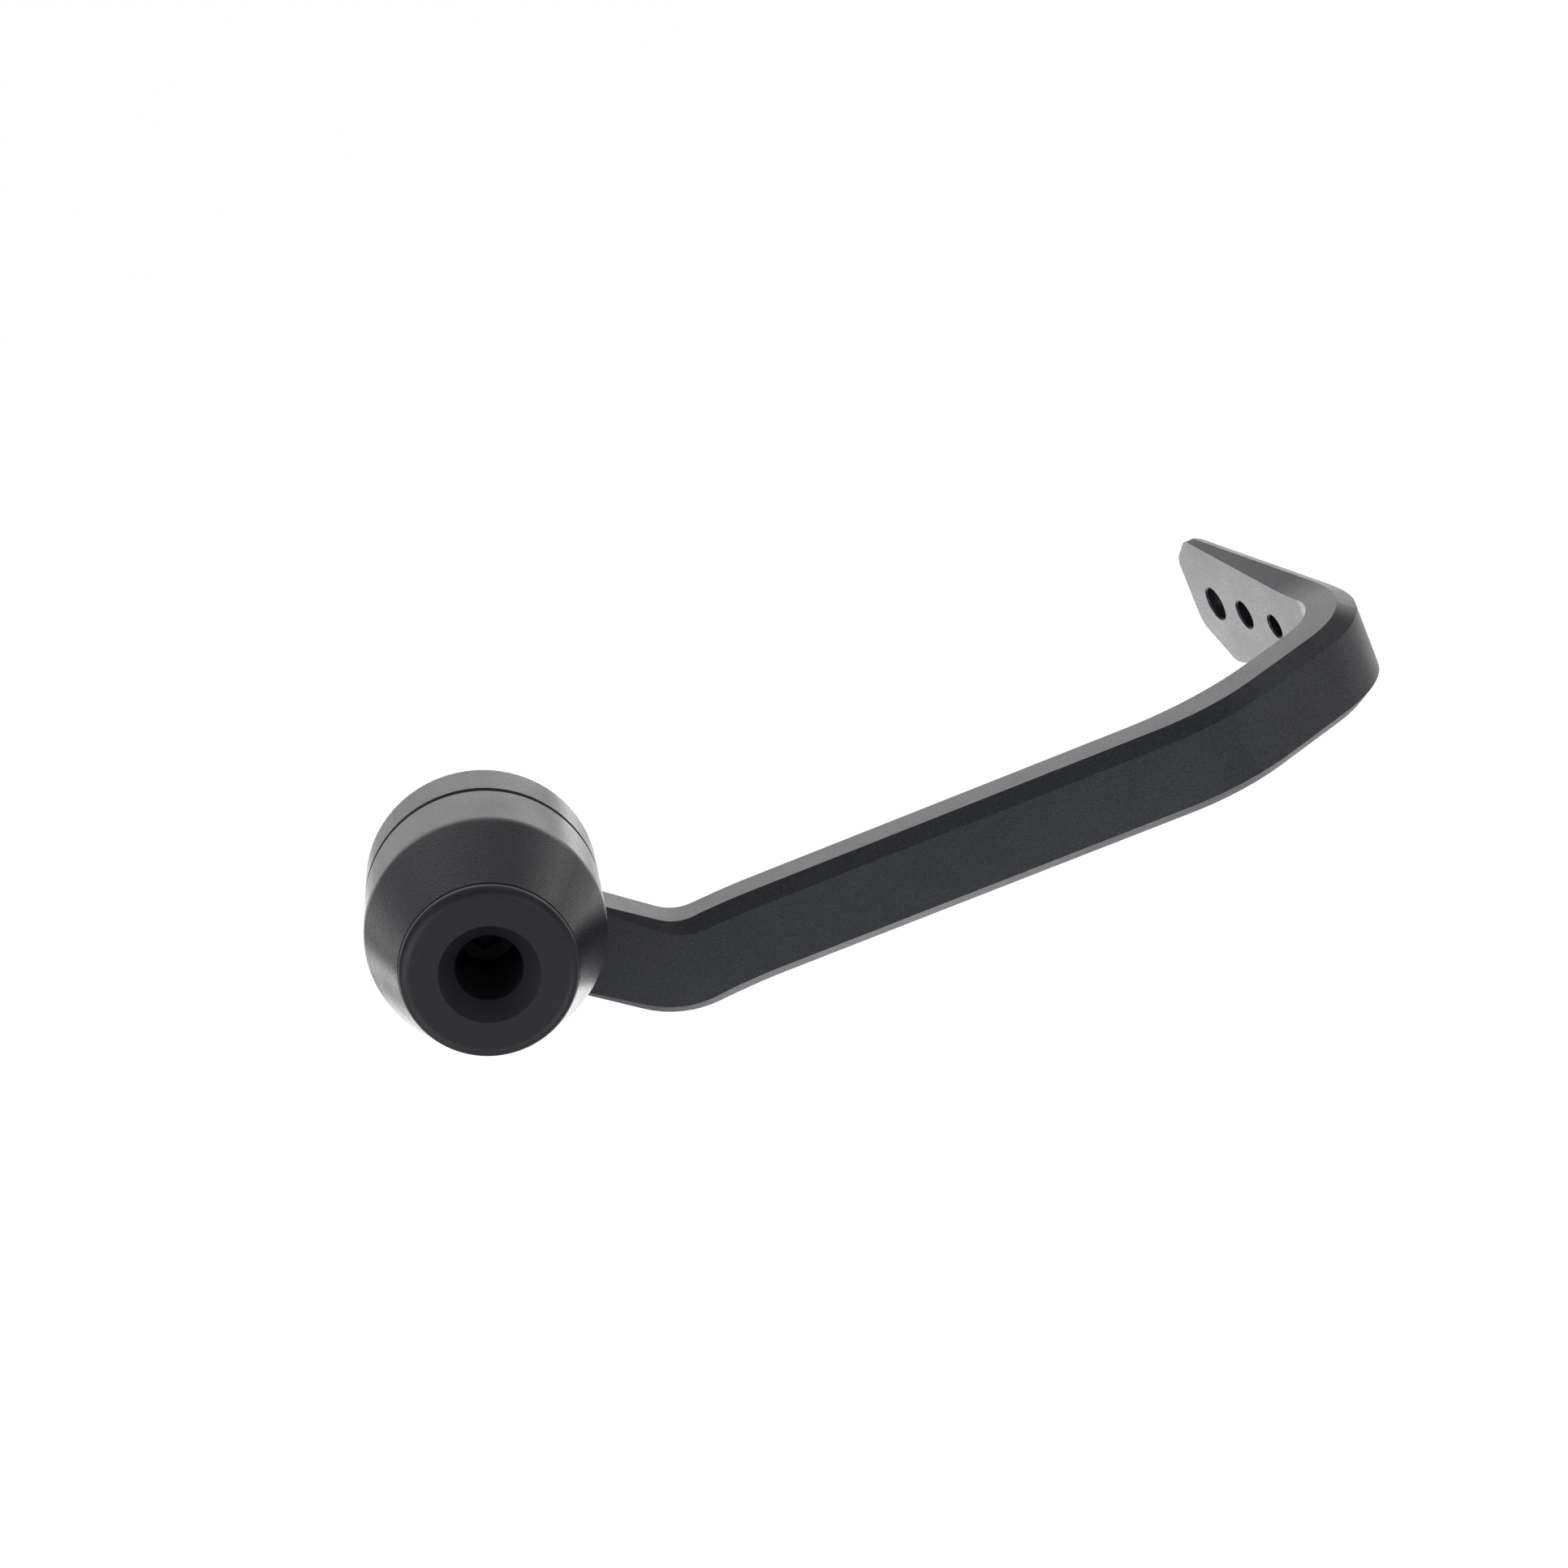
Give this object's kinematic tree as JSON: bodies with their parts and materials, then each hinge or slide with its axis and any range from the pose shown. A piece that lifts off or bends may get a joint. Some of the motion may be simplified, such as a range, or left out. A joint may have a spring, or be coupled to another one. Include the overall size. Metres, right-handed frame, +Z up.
{
  "type": "brake lever guard",
  "caption": "Motorbike lever guard: a bent bar with bevelled edges and a drilled, tapering end fin, held by its eyelet behind a conical bar-end weight with a countersunk nose cap.",
  "frame": {"origin": "on the handlebar's axis, at the back face of the guard arm's eyelet, where it meets the end of the bar", "axes": "+X forward along the guard arm, +Y inboard along the handlebar's axis, +Z up"},
  "size_m": [0.172, 0.1051, 0.0563],
  "materials": {
    "arm_anodised": "bead-blasted and anodised black, satin",
    "weight_anodised": "bead-blasted and anodised black, satin",
    "nose_nylon": "turned nylon, matt black",
    "screw_steel": "black oxide"
  },
  "bodies": {
    "root": {"guard_arm": "arm_anodised", "bar_end_weight": "weight_anodised", "nose_cap": "nose_nylon", "mounting_screw": "screw_steel"}
  },
  "joints": []
}
